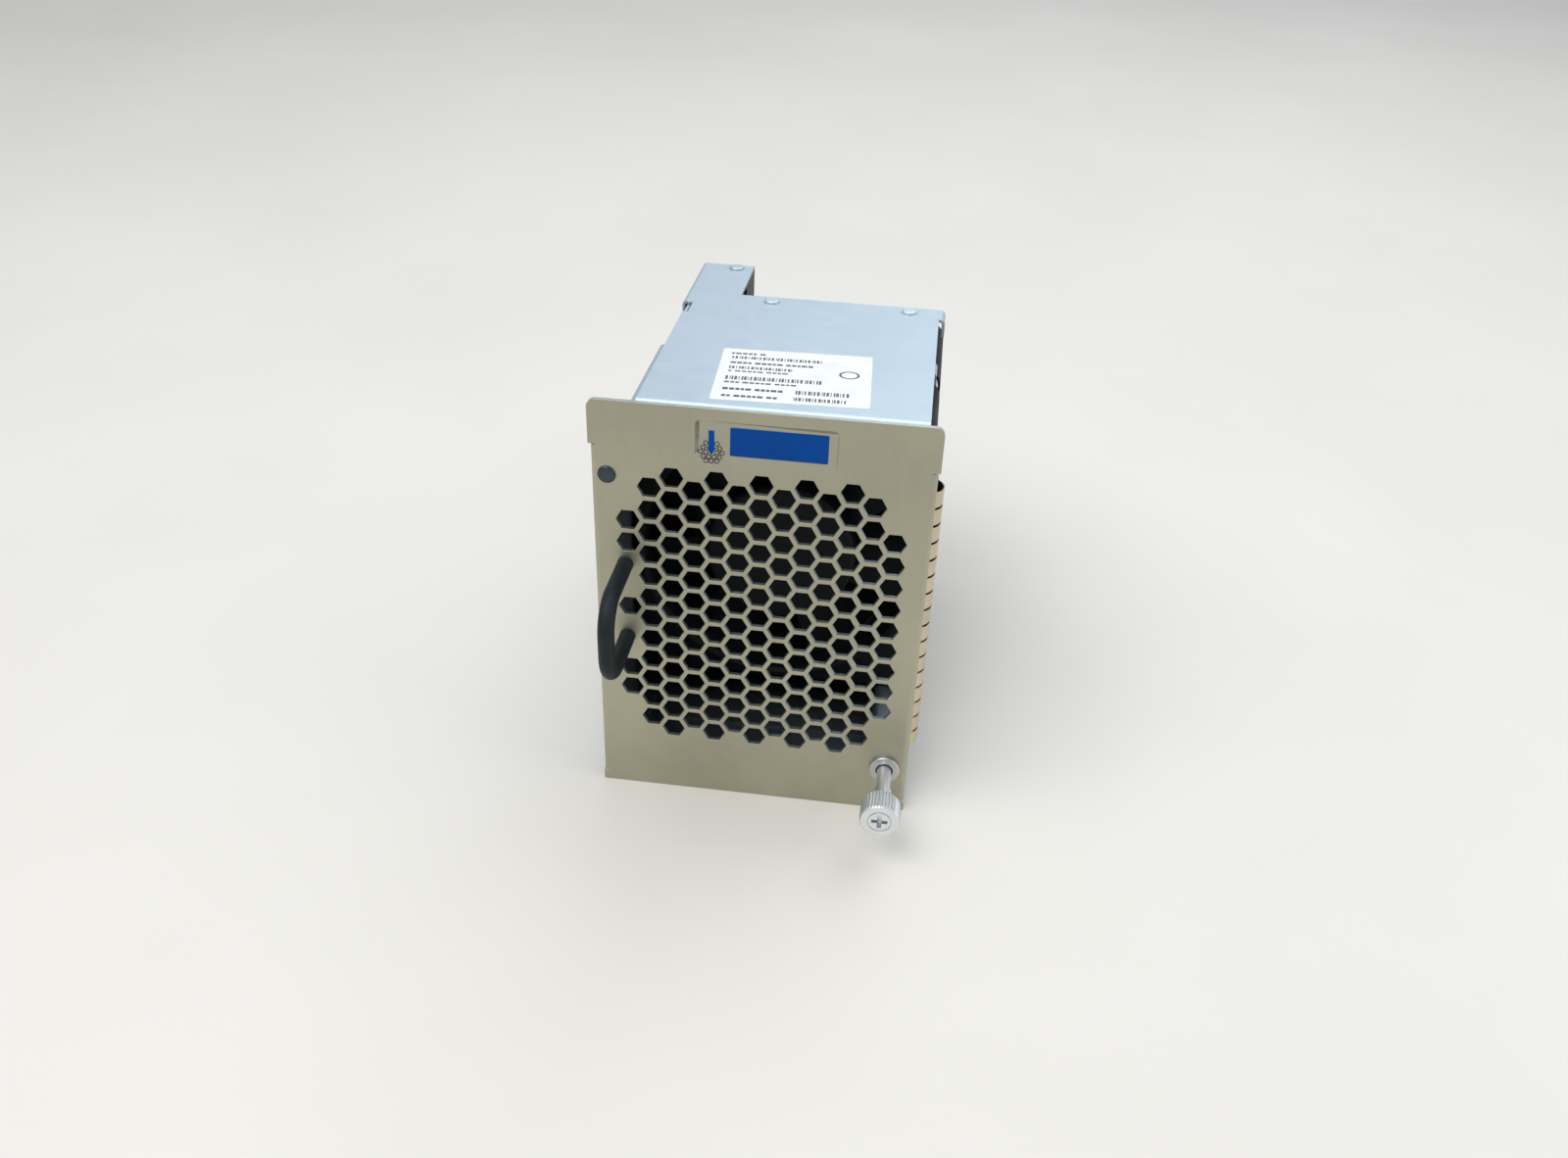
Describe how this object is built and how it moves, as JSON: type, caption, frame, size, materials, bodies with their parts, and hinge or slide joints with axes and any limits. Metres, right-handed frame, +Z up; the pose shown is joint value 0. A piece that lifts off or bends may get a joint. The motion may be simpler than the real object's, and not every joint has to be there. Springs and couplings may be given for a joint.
{
  "type": "switch fan tray",
  "caption": "Slide-in fan tray for a rack switch: hexagon-grille faceplate with bow handle and captive thumbscrew, sheet-metal sled behind it and axial fans in line.",
  "frame": {"origin": "centre of the bounding box across and in depth, at the faceplate's bottom edge", "axes": "+Z up, +Y from the faceplate towards the fans (into the chassis), +X to the right seen from the front; the faceplate stands upright"},
  "size_m": [0.0866, 0.1393, 0.1176],
  "materials": {
    "plate_zinc": "zinc coated sheet, spangled satin",
    "sled_zinc": "zinc coated sheet, satin",
    "finger_metal": "bright spring strip",
    "edging_rubber": "matte",
    "fan_plastic": "moulded, fine texture",
    "rotor_plastic": "moulded, semi matte",
    "magnet_ferrite": "sintered, dull",
    "bright_steel": "ground",
    "core_steel": "stamped laminations",
    "coil_copper": "enamelled wire",
    "screw_zinc": "bright zinc plated",
    "rivet_aluminium": "satin",
    "handle_coating": "dark coating, semi matte",
    "ferrule_steel": "plated, satin",
    "spring_steel": "drawn wire",
    "knob_steel": "nickel plated, bright",
    "lens_clear": "clear moulded light pipe",
    "led_epoxy": "clear epoxy",
    "black_nylon": "moulded",
    "contact_brass": "plated contacts",
    "board_laminate": "glass laminate with solder mask",
    "lead_black": "insulated wire",
    "lead_grey": "insulated wire"
  },
  "bodies": {
    "tray": {"faceplate": "plate_zinc", "finger_gasket": "finger_metal", "top_cover": "sled_zinc", "base_tray": "sled_zinc", "left_side_wall": "sled_zinc", "fan_bracket": "sled_zinc", "rear_fan_plate": "sled_zinc", "slot_edging": "edging_rubber", "front_fan_frame": "fan_plastic", "front_bearings": "bright_steel", "front_stator_core": "core_steel", "front_windings": "coil_copper", "rear_fan_frame": "fan_plastic", "rear_bearings": "bright_steel", "rear_stator_core": "core_steel", "rear_windings": "coil_copper", "fan_screws_front": "screw_zinc", "fan_screws_rear": "screw_zinc", "sheet_rivets": "rivet_aluminium", "handle": "handle_coating", "handle_screws": "screw_zinc", "captive_ferrule": "ferrule_steel", "thumbscrew_spring": "spring_steel", "status_lens": "lens_clear", "status_led": "led_epoxy", "led_holder": "black_nylon", "connector_housing": "black_nylon", "connector_contacts": "contact_brass", "connector_board": "board_laminate", "front_fan_lead": "lead_black", "rear_fan_lead": "lead_black", "status_lead": "lead_grey"},
    "front_impeller": {"front_rotor": "rotor_plastic", "front_magnet_ring": "magnet_ferrite", "front_shaft": "bright_steel"},
    "rear_impeller": {"rear_rotor": "rotor_plastic", "rear_magnet_ring": "magnet_ferrite", "rear_shaft": "bright_steel"},
    "screw_carrier": {"retaining_washer": "spring_steel"},
    "screw": {"thumbscrew": "knob_steel"}
  },
  "joints": [
    {"name": "front_fan_spin", "type": "hinge", "parent": "tray", "child": "front_impeller", "pos_m": [0.0008, 0.00485, 0.0589], "axis": [0, 1, 0], "continuous": true},
    {"name": "rear_fan_spin", "type": "hinge", "parent": "tray", "child": "rear_impeller", "pos_m": [0.0008, 0.05065, 0.0589], "axis": [0, 1, 0], "continuous": true},
    {"name": "thumbscrew_slide", "type": "slide", "parent": "tray", "child": "screw_carrier", "axis": [0, 1, 0], "range_m": [0, 0.008], "stiffness_N_per_m": 250, "springref_m": -0.006, "deforming": ["thumbscrew_spring"]},
    {"name": "thumbscrew_spin", "type": "hinge", "parent": "screw_carrier", "child": "screw", "pos_m": [0.0353, -0.04555, 0.0142], "axis": [0, 1, 0], "continuous": true}
  ]
}
